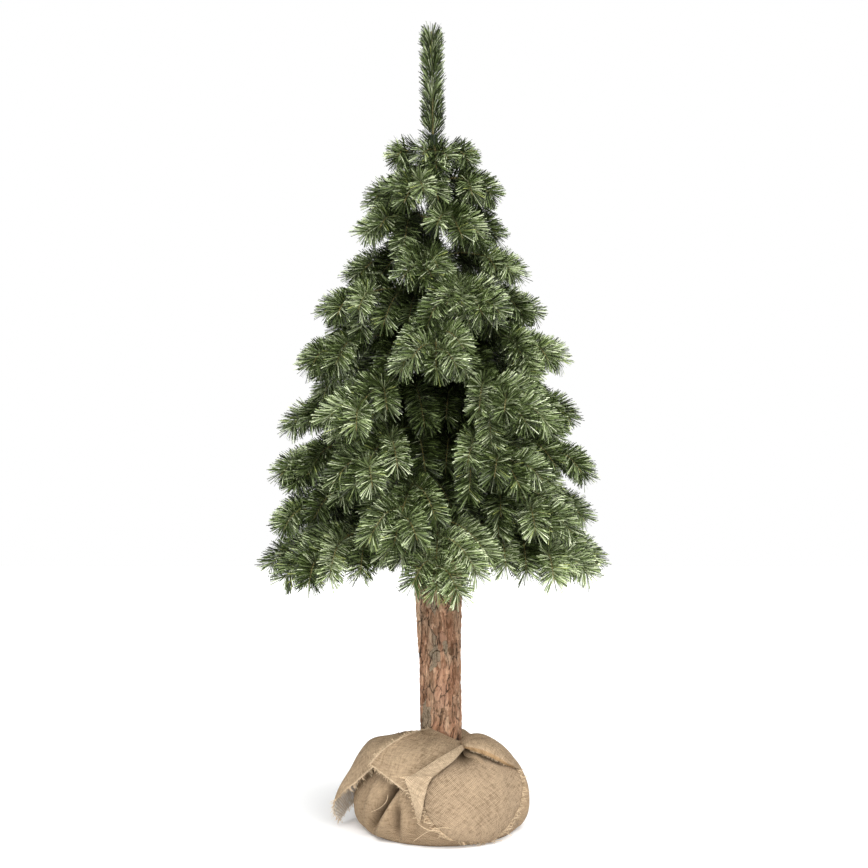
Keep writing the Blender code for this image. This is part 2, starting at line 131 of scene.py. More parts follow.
TWIG_CURL = 0.12
TWIG_RISE = 0.10
TWIG_RISE_SPREAD = 0.04
TWIG_DROOP = 0.60
TWIG_DROOP_SPREAD = (-0.08, 0.12)
TIP_NEEDLE = 0.024
SEGMENT = 0.046
TWIG_SUNK = 0.0015
ROOM_MARGIN = 0.0025
SIDE_MARGIN = 0.001
LEVEL_MARGIN = 0.004
LEADER_ROOM = 0.036
LOG_ROOM = 0.056
SEED = 24
noise.seed_set(SEED)  # without this, noise_vector differs from run to run

# ---- sizes of the finer parts

LOG_CLEAR = 0.004  # needles and flaps stay this far off the log
NEEDLE_LENGTH = 0.041
NEEDLE_SHARES = (0.80, 1.05)  # the shares of it that they have
NEEDLE_WIDTH = 0.0014
NEEDLE_ROOT = 0.6  # share of their width that they have at the root
NEEDLE_STRAY = 0.09  # how much their angle to the stem varies, in radians
NEEDLE_SAG = 0.03
NEEDLE_ROLL = 0.55
FILM_PITCH = 0.017  # the foil is twisted once round its wire in this length
FILM_LOOSE = 0.20  # how far its needles stray from it, in radians
STRAND = 2  # neighbouring needles that share a colour
TIP_CLOSING = 0.020  # over this stretch the needles close towards the tip
TIP_SHORT = 0.014  # the last needles are rooted this far before the stem's end
STEM_STEP = 0.006
WIRE_END = 0.0009
STEEP = 0.9  # a line that rises by more than this is upright

# The needles' angle to their stem, the same at its tip, and how many there are per metre.
Brush = namedtuple("Brush", "angle tip_angle per_metre")
BRUSH = Brush(radians(57), radians(36), 6300)
LEADER_BRUSH = Brush(radians(42), radians(26), 8000)
COLLAR_BRUSH = Brush(radians(48), radians(40), 3400)

# The bare length at a stem's root, and its wire's radius there.
MAIN_STEM = (0.018, 0.0026)
SIDE_TWIG = (0.010, 0.0015)
FINE_TWIG = (0.006, 0.0013)

# Finer twigs: the share of the stem where they leave it, their slant in degrees, and their
# length, rise and droop. A pair is a range.
Sprig = namedtuple("Sprig", "at slant length rise droop")
# This one's slant is a share of its room, and its length is a share of the tier's reach.
FILLER = Sprig(0.14, 1.2, 0.42, None, (0.6, 0.9))
FILLER_SPREAD = (-0.02, 0.02)
SPRIG = Sprig((0.26, 0.90), (38, 66), 0.36, (-0.10, 0.10), (0.85, 1.25))
SPRIG_SPACING = 0.082
SPRIG_SLANT_FALL = 32
SPRIG_LENGTH_FALL = 0.26
SPRIG_LENGTH_ADDED = 0.055
FORK = Sprig(0.35, (15, 42), (0.080, 0.110), (-0.15, 0.05), (0.9, 1.3))  # on side twigs
HANGING = Sprig(0.60, (-30, 30), 0.046, (-1.1, -0.6), (1.1, 1.6))
CORE = 0.045  # they keep this far from the pole
EDGE_KEPT = 0.028  # and this far inside their tier's reach
LOWEST_STEM = 0.602
FINE_SEGMENT = 0.012
SHORTEST_TIP = 0.045
FULL_REACH = 0.21  # shorter tiers have no twigs that fill their gaps

LEADER_TOP = HEIGHT - 0.034  # its last needles are rooted here
LEADER_WIRE = (0.0030, 0.0015)  # radius of its wire at its root and its tip
LEADER_STATIONS = 40
COLLARS = ((LOG_TOP, 1.15), (1.490, POLE_TOP + TIP_SHORT))  # the pole bears needles here
COLLAR_STATIONS = 60

# ---- shader nodes


class Nodes:
    """Short ways to add nodes to a material."""

    def __init__(self, name, roughness, **settings):
        self.material = bpy.data.materials.new(name)
        self.material.use_nodes = True
        self.tree = self.material.node_tree
        self.shader = self.tree.nodes["Principled BSDF"]
        self.shader.inputs["Roughness"].default_value = roughness
        for key, value in settings.items():
            self.shader.inputs[key.replace("_", " ")].default_value = value

    def add(self, kind, inputs=None, output=0, **settings):
        """The output socket of a new node."""
        node = self.tree.nodes.new("ShaderNode" + kind)
        for key, value in settings.items():
            setattr(node, key, value)
        for key, value in (inputs or {}).items():
            if isinstance(value, bpy.types.NodeSocket):
                self.tree.links.new(value, node.inputs[key])
            else:
                node.inputs[key].default_value = value
        return node.outputs[output]

    def math(self, operation, a, b=0.0):
        return self.add("Math", {0: a, 1: b}, operation=operation)

    def times(self, a, b):
        return self.math("MULTIPLY", a, b)

    def plus(self, a, b):
        return self.math("ADD", a, b)

    def mix(self, factor, a, b, blend="MIX"):
        return self.add("Mix", {0: factor, 6: a, 7: b}, 2, data_type="RGBA", blend_type=blend)

    def stretch(self, vector, scale):
        return self.add("Mapping", {"Vector": vector, "Scale": scale})

    def noise(self, vector, scale, detail=3.0, roughness=0.5):
        inputs = {"Vector": vector, "Scale": scale, "Detail": detail, "Roughness": roughness}
        return self.add("TexNoise", inputs)

    def between(self, value, low, high):
        """0 below low, 1 above high, and evenly between."""
        return self.add("MapRange", {"Value": value, "From Min": low, "From Max": high})

    def ramp(self, value, *stops):
        """A colour ramp of (place, colour) stops."""
        colours = self.add("ValToRGB", {0: value})
        points = colours.node.color_ramp.elements
        while len(points) < len(stops):
            points.new(0.5)
        for point, (place, colour) in zip(points, stops):
            point.position = place
            point.color = (*colour, 1.0)
        return colours

    def attribute(self, name):
        return self.add("Attribute", output=2, attribute_name=name)

    def colour(self, socket):
        self.tree.links.new(socket, self.shader.inputs["Base Color"])

    def bump(self, height, distance, strength=1.0):
        bumped = self.add("Bump", {"Height": height, "Distance": distance, "Strength": strength})
        self.tree.links.new(bumped, self.shader.inputs["Normal"])


def plain(name, colour, roughness, **settings):
    """A material of one plain colour."""
    made = Nodes(name, roughness, Base_Color=(*colour, 1.0), **settings)
    return made.material


def bark_material():
    """Pine bark: dark furrows, brown and red plates, lichen and pale fresh flakes."""
    n = Nodes("bark", 0.88, Specular_IOR_Level=0.25)
    place = n.add("TexCoord", output="Object")
    fibres = n.noise(n.stretch(place, (190, 190, 34)), 1.0, 7.0, 0.7)
    blotches = n.noise(n.stretch(place, (30, 30, 10)), 1.0, 5.0, 0.62)
    crumbs = n.noise(n.stretch(place, (420, 420, 200)), 1.0, 5.0, 0.75)
    tone = n.attribute("plate")
    brown = n.ramp(tone, (0.30, (0.173, 0.105, 0.060)), (0.42, (0.323, 0.201, 0.126)),
                   (0.52, (0.425, 0.270, 0.173)), (0.66, (0.641, 0.439, 0.298)))
    red = n.ramp(tone, (0.30, (0.183, 0.087, 0.046)), (0.42, (0.359, 0.188, 0.111)),
                 (0.54, (0.453, 0.249, 0.151)), (0.66, (0.635, 0.387, 0.250)))
    wood = n.mix(n.between(blotches, 0.42, 0.56), brown, red)
    streaks = n.ramp(fibres, (0.32, (0.36, 0.31, 0.26)), (0.48, (1.0, 0.98, 0.96)),
                     (0.68, (1.38, 1.36, 1.33)))
    wood = n.mix(1.0, wood, streaks, "MULTIPLY")
    fresh = n.between(n.times(n.attribute("fresh"), n.plus(fibres, 0.4)), 0.25, 0.75)
    wood = n.mix(n.times(fresh, 0.50), wood, (0.620, 0.360, 0.240, 1.0))
    lichen = n.between(n.times(n.attribute("lichen"), n.plus(crumbs, 0.5)), 0.22, 0.50)
    mossy = n.ramp(crumbs, (0.36, (0.170, 0.135, 0.088)), (0.62, (0.455, 0.370, 0.260)))
    wood = n.mix(n.times(lichen, 0.85), wood, mossy)
    depth = n.between(n.plus(n.attribute("crack"), n.times(crumbs, 0.50)), 0.34, 0.86)
    n.colour(n.mix(depth, (0.038, 0.023, 0.015, 1.0), wood))
    n.bump(n.plus(fibres, n.times(crumbs, 1.1)), 0.0026, 1.0)
    return n.material


# Painted shade: cloth in deep folds, in the panel's dip and beside the pointed flap is darkened
# towards this colour.
PAINTED_FOLD_SHADE = (0.050, 0.029, 0.013, 1.0)  # cloth in a fold that no light comes into
PAINTED_SHADE_STRENGTH = 0.95  # how far its colour goes towards that
SLUB_PITCH = (0.55, 45)  # uneven threads: per thread across it, per metre along it
BRIGHT_THREAD = 1.35  # the brightest, times the light colour


def burlap_material(name, light, dark, pitch=0.0023, slub=0.60, holes=0.36):
    """Coarse plain-woven jute. Its UV map is in metres of cloth."""
    n = Nodes(name, 0.95, Specular_IOR_Level=0.15)
    cloth = n.add("UVMap", uv_map="cloth")
    place = n.add("TexCoord", output="Object")
    split = n.add("SeparateXYZ", {0: cloth}).node.outputs
    warp, weft = (n.times(split[axis], 1 / pitch) for axis in (0, 1))
    over = n.math("PINGPONG", n.plus(n.math("FLOOR", warp), n.math("FLOOR", weft)), 1.0)
    rounds = [n.math("SINE", n.times(n.math("FRACT", run), pi)) for run in (warp, weft)]
    along = n.times(over, rounds[0])
    across = n.times(n.math("SUBTRACT", 1.0, over), rounds[1])
    weave = n.plus(along, across)
    hole = n.times(rounds[0], rounds[1])
    fine, coarse = SLUB_PITCH[0] / pitch, SLUB_PITCH[1]
    slubs = [n.noise(n.stretch(cloth, scale), 1.0, 3.0, 0.6)
             for scale in ((fine, coarse, 1), (coarse, fine, 1))]
    uneven = n.plus(*slubs)
    stain = n.noise(place, 14.0, 3.0, 0.55)
    tone = n.plus(n.times(n.math("SUBTRACT", uneven, 1.0), slub), n.times(stain, 0.35))
    bright = tuple(min(BRIGHT_THREAD * c, 1) for c in light)
    thread = n.ramp(tone, (0.0, dark), (0.17, light), (0.38, bright))
    shade = n.between(n.times(weave, n.plus(hole, 0.5)), 0.0, 0.80)
    woven = n.mix(shade, (*(holes * c for c in dark), 1.0), thread)
    # Painted shade: the 'fold' attribute darkens the cloth in deep folds, in the panel's dip and
    # beside the pointed flap.
    n.colour(n.mix(n.times(n.attribute("fold"), PAINTED_SHADE_STRENGTH), woven, PAINTED_FOLD_SHADE))
    n.bump(n.plus(weave, n.times(uneven, 0.8)), 0.0006, 0.9)
    return n.material


def steel_material():
    """Green enamel on the pole, a little uneven."""
    n = Nodes("green steel", 0.5, Metallic=0.1)
    place = n.add("TexCoord", output="Object")
    speckle = n.noise(place, 160.0, 4.0)
    n.colour(n.ramp(speckle, (0.35, (0.010, 0.020, 0.007)), (0.65, (0.020, 0.036, 0.013))))
    n.bump(speckle, 0.0003, 0.4)
    return n.material


# ---- meshes


def add_object(name, data):
    """A new object in the scene."""
    thing = bpy.data.objects.new(name, data)
    bpy.context.scene.collection.objects.link(thing)
    return thing


def faces_object(name, points, corners, counts, materials, kinds=None, smooth=False):
    """An object from its points, its faces' corners in a row, and the corners per face."""
    mesh = bpy.data.meshes.new(name)
    counts = np.asarray(counts, np.int32)
    corners = np.asarray(corners, np.int32).ravel()
    mesh.vertices.add(len(points))
    mesh.vertices.foreach_set("co", np.asarray(points, np.float32).ravel())
    mesh.loops.add(len(corners))
    mesh.loops.foreach_set("vertex_index", corners)
    mesh.polygons.add(len(counts))
    starts = np.concatenate(([0], np.cumsum(counts)[:-1])).astype(np.int32)
    mesh.polygons.foreach_set("loop_start", starts)
    mesh.polygons.foreach_set("loop_total", counts)
    for made in materials:
        mesh.materials.append(made)
    if kinds is not None:
        mesh.polygons.foreach_set("material_index", np.asarray(kinds, np.int32))
    mesh.polygons.foreach_set("use_smooth", np.full(len(counts), smooth))
    mesh.update(calc_edges=True)
    return add_object(name, mesh)


def grid_corners(rows, columns, closed):
    """The corners of a grid's faces, its last column joined to its first if closed."""
    i, j = np.meshgrid(np.arange(rows - 1), np.arange(columns if closed else columns - 1),
                       indexing="ij")
    right = (j + 1) % columns
    return np.stack([i * columns + j, i * columns + right,
                     (i + 1) * columns + right, (i + 1) * columns + j], -1).reshape(-1, 4)


def tube_faces(rows, columns, closed_top=True):
    """The corners, and the corners per face, of a tube with flat ends."""
    corners = [grid_corners(rows, columns, True).ravel(), np.arange(columns)[::-1]]
    if closed_top:
        corners.append(np.arange(columns) + (rows - 1) * columns)
    counts = [4] * ((rows - 1) * columns) + [columns] * (len(corners) - 1)
    return np.concatenate(corners), counts


def float_attribute(thing, name, values):
    """A number kept for each point of a mesh."""
    made = thing.data.attributes.new(name, "FLOAT", "POINT")
    made.data.foreach_set("value", np.asarray(values, np.float32).ravel())


def cloth_map(thing, places):
    """A UV map in metres of cloth, from each point's own place."""
    mesh = thing.data
    corner = np.zeros(len(mesh.loops), np.int32)
    mesh.loops.foreach_get("vertex_index", corner)
    layer = mesh.uv_layers.new(name="cloth")
    layer.uv.foreach_set("vector", np.asarray(places, np.float32).reshape(-1, 2)[corner].ravel())


def keep(thing, slot, *nodes):
    """Make a piece ride with the tree, in place of solids. The slot is not used."""
    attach(thing, "root")
    if nodes:
        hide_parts(*nodes)
    return thing


def polar(radius, azimuth, height):
    """A point from cylindrical coordinates, the azimuth in radians."""
    return Vector((radius * cos(azimuth), radius * sin(azimuth), height))


def clamped(value):
    """The nearest number from 0 to 1."""
    return min(max(value, 0.0), 1.0)


def smooth_curve(points, t):
    """The place at t, from 0 to 1, on a Catmull-Rom curve through evenly spaced points."""
    last = len(points) - 1
    span = min(int(t * last), last - 1)
    u = t * last - span
    p0, p1, p2, p3 = (points[min(max(span + k, 0), last)] for k in (-1, 0, 1, 2))
    return [0.5 * (2 * b + (c - a) * u + (2 * a - 5 * b + 4 * c - d) * u * u
                   + (3 * b - a - 3 * c + d) * u ** 3) for a, b, c, d in zip(p0, p1, p2, p3)]


# ---- the branches' rule


def axis_x(height):
    """The pole leans a little to the left as it rises."""
    slope = (LEAN_TOP_X - LEAN_BOTTOM_X) / (POLE_TOP - POLE_BOTTOM)
    return LEAN_BOTTOM_X + slope * (height - POLE_BOTTOM)


def tier_height(tier, radius, azimuth):
    """Height of a tier's middle surface: up from the hub, over, and down to the tips.

    Branches arch more steeply to the front and the back than to the sides.
    """
    end = tier.reach - TIP_NEEDLE
    s = max(radius - POLE_RADIUS, 0.0) / (end - POLE_RADIUS)
    hang = sin(azimuth) ** 2
    wide = max(tier.reach - HANG_FROM, 0.0) / (TIERS[-1].reach - HANG_FROM)
    arch = min(CREST * (tier.reach - CREST_FROM), CREST_LIMIT)
    crest = tier.hub + arch + HANG_CREST * hang * wide
    tip = tier.tip - HANG_TIP * hang
    if s > 1.0:
        return tip - EDGE_SLOPE * (radius - end)
    return tier.hub * (1 - s) ** 2 + 2 * crest * s * (1 - s) + tip * s * s


def seen_from(x, point):
    """A point's distance and azimuth from an upright line at x."""
    return hypot(point.x - x, point.y), atan2(point.y, point.x - x)


def tier_below(number):
    """The next tier down, if there is one."""
    return (*TIERS, None)[number + 1]


def make_room(number, azimuth):
    """The test for the space that one branch keeps to, between its neighbours' spaces."""
    tier = TIERS[number]
    half = pi / tier.branches
    above = TIERS[number - 1] if number else None
    below = tier_below(number)
    hub_x = axis_x(tier.hub)

    def inside(point):
        across, heading = seen_from(hub_x, point)
        off = abs((heading - azimuth + pi) % tau - pi)
        if off >= half or across * sin(half - off) < SIDE_MARGIN:
            return False
        if hypot(point.x - axis_x(point.z), point.y) < POLE_RADIUS + POLE_CLEAR:
            return False
        middle = tier_height(tier, across, heading)
        if above and point.z > (middle + tier_height(above, across, heading)) / 2 - ROOM_MARGIN:
            return False
        if below and point.z < (middle + tier_height(below, across, heading)) / 2 + ROOM_MARGIN:
            return False
        if not above and across < LEADER_ROOM and point.z > POLE_TOP - LEVEL_MARGIN:
            return False
        return below or across > LOG_ROOM or point.z > LOG_TOP + LEVEL_MARGIN

    return inside


def steps_for(length):
    """How many stations a stem of this length has."""
    return max(2, round(length / SEGMENT))


def branch_point(tier, azimuth, radius):
    """A point on a branch's own centre line."""
    height = tier_height(tier, radius, azimuth)
    return polar(radius, azimuth, height) + Vector((axis_x(tier.hub), 0, 0))


def stem_end(tier, azimuth):
    """How far from the pole a branch's stem ends, short of its last needles."""
    return tier.reach * (1 - LOPSIDED * cos(azimuth)) - TIP_NEEDLE


def point_on(line, share):
    """A point on a line of evenly spaced stations."""
    place = share * (len(line) - 1)
    station = min(int(place), len(line) - 2)
    return line[station].lerp(line[station + 1], place - station)


def arching_line(root, heading, length, rise, droop, count=None):
    """A twig's line: out from its root, arching down to its tip."""
    count = count or steps_for(length)
    line = []
    for i in range(count + 1):
        t = i / count
        along = length * t * (1 - TWIG_CURL * t)
        line.append(root + polar(along, heading, length * (rise * t - droop * t * t)))
    line[0] -= (line[1] - line[0]).normalized() * TWIG_SUNK
    return line


def twig_line(tier, azimuth, stem, share, side, rng):
    """The line of a side twig."""
    root = point_on(stem, share)
    slant = TWIG_SLANT - TWIG_SLANT_FALL * share
    slant += rng.uniform(-TWIG_SLANT_SPREAD, TWIG_SLANT_SPREAD)
    length = tier.reach * (TWIG_LENGTH - TWIG_LENGTH_FALL * share) + TWIG_LENGTH_ADDED
    length += rng.uniform(-TWIG_LENGTH_SPREAD, TWIG_LENGTH_SPREAD)
    rise = TWIG_RISE + rng.uniform(-TWIG_RISE_SPREAD, TWIG_RISE_SPREAD)
    droop = TWIG_DROOP + rng.uniform(*TWIG_DROOP_SPREAD)
    return arching_line(root, azimuth + side * radians(slant), length, rise, droop)


def trim_line(line, inside):
    """Cut a twig back to the stretch that stays in its room, or drop it."""
    kept = 1
    while kept < len(line) and inside(line[kept]):
        kept += 1
    return line[:kept] if kept > 2 else None


# ---- finer twigs and needles

Stem = namedtuple("Stem", "line bare thick")


def finer_twigs(number, azimuth, stem, twigs, rng):
    """The twigs that the solids leave out, from the stem and from its side twigs."""
    tier = TIERS[number]
    below = tier_below(number)
    full = tier.reach > FULL_REACH
    found = []

    def allowed(point):
        across, heading = seen_from(axis_x(tier.hub), point)
        if not CORE < across < stem_end(tier, heading) - EDGE_KEPT:
            return False
        floor = tier_height(below, across, heading) if below else LOWEST_STEM
        return floor < point.z < tier_height(tier, across, heading) + LEVEL_MARGIN

    def grow(kind, root, heading, length):
        rise = rng.uniform(*kind.rise) if kind.rise else 0.0
        droop = rng.uniform(*kind.droop)
        count = max(round(length * hypot(1 - TWIG_CURL, rise - droop) / FINE_SEGMENT), 2)
        line = trim_line(arching_line(root, heading, length, rise, droop, count), allowed)
        if line and len(line) > SHORTEST_TIP / FINE_SEGMENT:
            found.append(line)

    for way in (-1, 1) if full else ():
        grow(FILLER, point_on(stem, FILLER.at), azimuth + way * pi / tier.branches * FILLER.slant,
             FILLER.length * tier.reach + rng.uniform(*FILLER_SPREAD))
    side = 1
    share, last = SPRIG.at
    while share < last:
        slant = radians(rng.uniform(*SPRIG.slant) - SPRIG_SLANT_FALL * share)
        length = tier.reach * (SPRIG.length - SPRIG_LENGTH_FALL * share) + SPRIG_LENGTH_ADDED
        grow(SPRIG, point_on(stem, share), azimuth + side * slant, length)
        share += SPRIG_SPACING / tier.reach
        side = -side
    for twig in twigs if full and below else ():
        flat = twig[-1] - twig[0]
        side = -side
        heading = atan2(flat.y, flat.x) + side * radians(rng.uniform(*FORK.slant))
        grow(FORK, point_on(twig, FORK.at), heading, rng.uniform(*FORK.length))
    if full:
        heading = azimuth + radians(rng.uniform(*HANGING.slant))
        grow(HANGING, point_on(stem, HANGING.at), heading, HANGING.length)
    return found


def branch_stems(number, index):
    """Every stem of one branch: its own, its side twigs, and the finer ones."""
    tier = TIERS[number]
    rng = random.Random(SEED + 100 * number + index)
    azimuth = radians(tier.turn + 360 * index / tier.branches)
    inside = make_room(number, azimuth)
    end = stem_end(tier, azimuth)
    start = POLE_RADIUS + GAP
    bough = []
    if number == len(TIERS) - 1:
        bough = [branch_point(tier, azimuth, radius) for radius in (start, (start + BOUGH_END) / 2)]
        start = BOUGH_END + SLANT_GAP
    count = steps_for(end - start)
    line = [branch_point(tier, azimuth, start + (end - start) * i / count) for i in range(count + 1)]
    twigs = []
    for pair in range(tier.pairs):
        share = FIRST_PAIR - PAIR_STEP * pair if tier.pairs > 1 else ONLY_PAIR
        for side in (-1, 1):
            twig = twig_line(tier, azimuth, line, share + PAIR_STAGGER * side, side, rng)
            twig = trim_line(twig, inside)
            if twig:
                twigs.append(twig)
    finer = finer_twigs(number, azimuth, line, twigs, rng)
    stems = [Stem(bough + line, *MAIN_STEM)]
    stems += [Stem(twig, *SIDE_TWIG) for twig in twigs]
    stems += [Stem(twig, *FINE_TWIG) for twig in finer]
    return stems


def fine_line(line):
    """A stem as an array of close points on a smooth curve through its stations."""
    length = sum((b - a).length for a, b in zip(line, line[1:]))
    steps = max(4, round(length / STEM_STEP))
    return np.array([smooth_curve(line, i / steps) for i in range(steps + 1)])


def unit(vectors):
    """Vectors of length one."""
    return vectors / np.linalg.norm(vectors, axis=-1, keepdims=True)


def running(steps):
    """How far along each station lies, from the steps between them."""
    return np.concatenate(([0.0], np.cumsum(steps)))


def line_run(points):
    """The same, for a line of points."""
    return running(np.linalg.norm(np.diff(points, axis=0), axis=1))


def at_places(place, run, rows):
    """Rows of three numbers, read off at places along their run."""
    return np.stack([np.interp(place, run, rows[:, k]) for k in range(3)], 1)


def sideways(ahead, upright):
    """Two directions at right angles to each one ahead."""
    side = unit(np.cross(ahead, (0.0, 1.0, 0.0) if upright else (0.0, 0.0, 1.0)))
    return side, np.cross(side, ahead)


def turned(start, end, angle):
    """Directions turned from each start towards its end by an angle."""
    return start * np.cos(angle)[:, None] + end * np.sin(angle)[:, None]


def needles_on(points, bare, rng, brush=BRUSH):
    """Straight, blunt needles on a stem: the four corners of each."""
    run = line_run(points)
    last = run[-1] - TIP_SHORT
    if last <= bare:
        return np.zeros((0, 4, 3))
    count = int(brush.per_metre * (last - bare))
    place = np.sort(rng.uniform(bare, last, count))
    ahead = np.gradient(points, axis=0)
    root = at_places(place, run, points)
    along = unit(at_places(place, run, ahead))
    side, lift = sideways(along, abs(ahead[0, 2]) > STEEP * run[1])
    turn = tau * (place / FILM_PITCH + rng.random()) + pi * (np.arange(count) % 2)
    turn += rng.normal(0, FILM_LOOSE, count)
    out = turned(side, lift, turn)
    closing = np.clip((last - place) / TIP_CLOSING, 0, 1) ** 0.7
    lean = brush.tip_angle + (brush.angle - brush.tip_angle) * closing
    lean += rng.normal(0, NEEDLE_STRAY, count)
    needle = turned(along, out, lean)
    needle[:, 2] -= NEEDLE_SAG
    tip = root + needle * NEEDLE_LENGTH * rng.uniform(*NEEDLE_SHARES, count)[:, None]
    flat = unit(along - needle * np.sum(along * needle, 1, keepdims=True))
    roll = rng.normal(0, NEEDLE_ROLL, count)
    width = turned(flat, np.cross(needle, flat), roll) * NEEDLE_WIDTH / 2
    narrow = NEEDLE_ROOT * width
    return np.stack([root - narrow, root + narrow, tip - width, tip + width], 1)


def clear_of_log(corners):
    """Whether each needle's tip stays out of the log."""
    tip = corners[:, 2]
    reach = np.hypot(tip[:, 0] - LEAN_BOTTOM_X, tip[:, 1])
    return (tip[:, 2] > LOG_TOP) | (reach > LOG_TOP_RADIUS + LOG_CLEAR)


def strips_object(name, sets, materials):
    """One mesh of narrow flat strips, from (corners in pairs, material numbers) sets."""
    corners = np.concatenate([s[0] for s in sets])
    kinds = np.concatenate([s[1] for s in sets])
    count, width = corners.shape[:2]
    pattern = np.array([[k, k + 1, k + 3, k + 2] for k in range(0, width - 2, 2)])
    faces = (np.arange(count)[:, None, None] * width + pattern[None]).reshape(-1, 4)
    return faces_object(name, corners.reshape(-1, 3), faces, np.full(len(faces), 4), materials,
                        np.repeat(kinds, len(pattern)))


def tube(points, start_radius, end_radius, sides=5):
    """Rings of a tapering tube round a line, almost closed at its end."""
    ahead = unit(np.gradient(points, axis=0))
    side, lift = sideways(ahead, abs(ahead[0, 2]) >= STEEP)
    radius = np.linspace(start_radius, end_radius, len(points))
    radius[-1] = end_radius * 0.2
    turn = -tau * np.arange(sides) / sides
    ring = turned(side[:, None], lift[:, None], turn)
    return points[:, None] + ring * radius[:, None, None]


def tubes_object(name, tubes, materials):
    """Tubes joined into one mesh, with flat starts and ends."""
    corners, counts, base = [], [], 0
    for rings in tubes:
        rows, sides = rings.shape[:2]
        own, sizes = tube_faces(rows, sides)
        corners.append(own + base)
        counts += sizes
        base += rows * sides
    points = np.concatenate([rings.reshape(-1, 3) for rings in tubes])
    return faces_object(name, points, np.concatenate(corners), counts, materials, smooth=True)


# The foil's greens from dark to light, and last the pale yellow-green of a few needles.
GREENS = ((0.016, 0.024, 0.005), (0.064, 0.094, 0.022), (0.155, 0.212, 0.068),
          (0.372, 0.466, 0.203), (0.810, 0.890, 0.570), (0.500, 0.560, 0.170))
GLOSS = (0.35, 0.45, 0.60, 0.75, 0.80, 0.60)
YOUNG = len(GREENS) - 1
YOUNG_SHARE = 0.010
# The shares of the other greens in a dark, a usual and a light spray.
SHADES = ((0.44, 0.26, 0.14, 0.11, 0.05), (0.34, 0.21, 0.16, 0.17, 0.12),
          (0.27, 0.17, 0.16, 0.21, 0.19))
# Painted shade deep in the crown, round the pole:
PAINTED_SHADE_SHARES = (0.36, 0.56)  # within these shares of a tier's reach its needles are darker


def needle_colours(count, rng):
    """The green of each needle on a stem that is dark, usual or light."""
    strands = rng.choice(YOUNG, count // STRAND + 1, p=SHADES[rng.integers(0, len(SHADES))])
    kinds = np.repeat(strands, STRAND)[:count]
    kinds[rng.random(count) < YOUNG_SHARE] = YOUNG
    return kinds


def painted_shade_inside(kinds, corners, reach):
    """The greens with painted shade: a step darker for each of the shares of reach that a needle
    lies within.
    """
    far = np.hypot(corners[:, 0, 0] - axis_x(corners[:, 0, 2]), corners[:, 0, 1]) / reach
    steps = sum((far < share).astype(int) for share in PAINTED_SHADE_SHARES)
    return np.maximum(kinds - steps, 0)


def upright_line(bottom, top, count):
    """Stations up the pole's axis."""
    heights = np.linspace(bottom, top, count)
    return np.stack([axis_x(heights), np.zeros(count), heights], 1)


def build_crown():
    """The needles of each tier's branches, the leader, and every stem."""
    greens = [plain("needles_%d" % (i + 1), colour, 0.30, Specular_IOR_Level=gloss)
              for i, (colour, gloss) in enumerate(zip(GREENS, GLOSS))]
    wire = plain("twisted_wire", (0.300, 0.245, 0.090), 0.6)
    stems = []
    for number, tier in enumerate(TIERS):
        for index in range(tier.branches):
            rng = np.random.default_rng(SEED + 1000 * number + index)
            sets = []
            for stem in branch_stems(number, index):
                points = fine_line(stem.line)
                stems.append(tube(points[::2], stem.thick, WIRE_END))
                corners = needles_on(points, stem.bare, rng)
                corners = corners[clear_of_log(corners)]
                kinds = needle_colours(len(corners), rng)
                # Painted shade: needles nearer the pole get darker greens.
                sets.append((corners, painted_shade_inside(kinds, corners, tier.reach)))
            label = "%02d_%d" % (number + 1, index + 1)
            keep(strips_object("spray_" + label, sets, greens), "needles", "needles_" + label)
    rng = np.random.default_rng(SEED)
    leader = upright_line(POLE_TOP + GAP, LEADER_TOP + TIP_SHORT, LEADER_STATIONS)
    corners = needles_on(leader, 0.0, rng, LEADER_BRUSH)
    corners[:, :, 2] = np.minimum(corners[:, :, 2], HEIGHT)
    sets = [(corners, needle_colours(len(corners), rng))]
    for ends in COLLARS:
        corners = needles_on(upright_line(*ends, COLLAR_STATIONS), 0.0, rng, COLLAR_BRUSH)
        # Painted shade on the collars' needles round the pole.
        sets.append((corners, painted_shade_inside(needle_colours(len(corners), rng), corners, 1.0)))
    keep(strips_object("spray_leader", sets, greens), "needles", "needles_leader")
    stems.append(tube(leader, *LEADER_WIRE))
    boughs = ["bough_10_%d" % (i + 1) for i in range(TIERS[-1].branches)]
    keep(tubes_object("stems", stems, [wire]), "steel", *boughs)


# ---- the log

LOG_AROUND = 200
LOG_ALONG = 280
FURROW = 0.0060  # how deep the furrows are between plates
FURROW_LEVEL = 0.66  # the relief that lies on the solid's own surface
WARP = (60, 60, 40)  # how closely the cracks wind, per metre, and how far
WARP_SIZE = 0.006
FIBRES = (210, 210, 36)

# Plates, flakes and chips of bark: their width, height, share of the relief, crack's width and
# darkness, and share of the colour.
Layer = namedtuple("Layer", "wide tall relief crack dark tone")
LAYERS = (Layer(0.018, 0.078, 0.30, 0.11, 0.95, 0.26),
          Layer(0.0095, 0.029, 0.34, 0.14, 0.72, 0.40),
          Layer(0.0045, 0.0115, 0.26, 0.24, 0.48, 0.34))
FLAKES = 1  # the layer whose pieces the lichen and the fresh places follow

Patch = namedtuple("Patch", "azimuth height across up")
LICHEN = (Patch(252, 0.395, 0.0125, 0.036), Patch(226, 0.250, 0.011, 0.034),
          Patch(292, 0.398, 0.008, 0.018), Patch(250, 0.500, 0.010, 0.018),
          Patch(60, 0.330, 0.014, 0.045), Patch(120, 0.450, 0.012, 0.040))
FRESH = (Patch(277, 0.425, 0.011, 0.020), Patch(284, 0.520, 0.010, 0.018),
         Patch(272, 0.300, 0.018, 0.045), Patch(20, 0.290, 0.016, 0.040),
         Patch(150, 0.360, 0.014, 0.050))
LOOSE_STRIP = Patch(200, 0.505, 0.0115, 0.098)  # of bark, lifted and lighter
STRIP_EDGE = 6  # how sharp its edge is
STRIP_LIFT = 0.0034
STRIP_LIGHT = 0.22


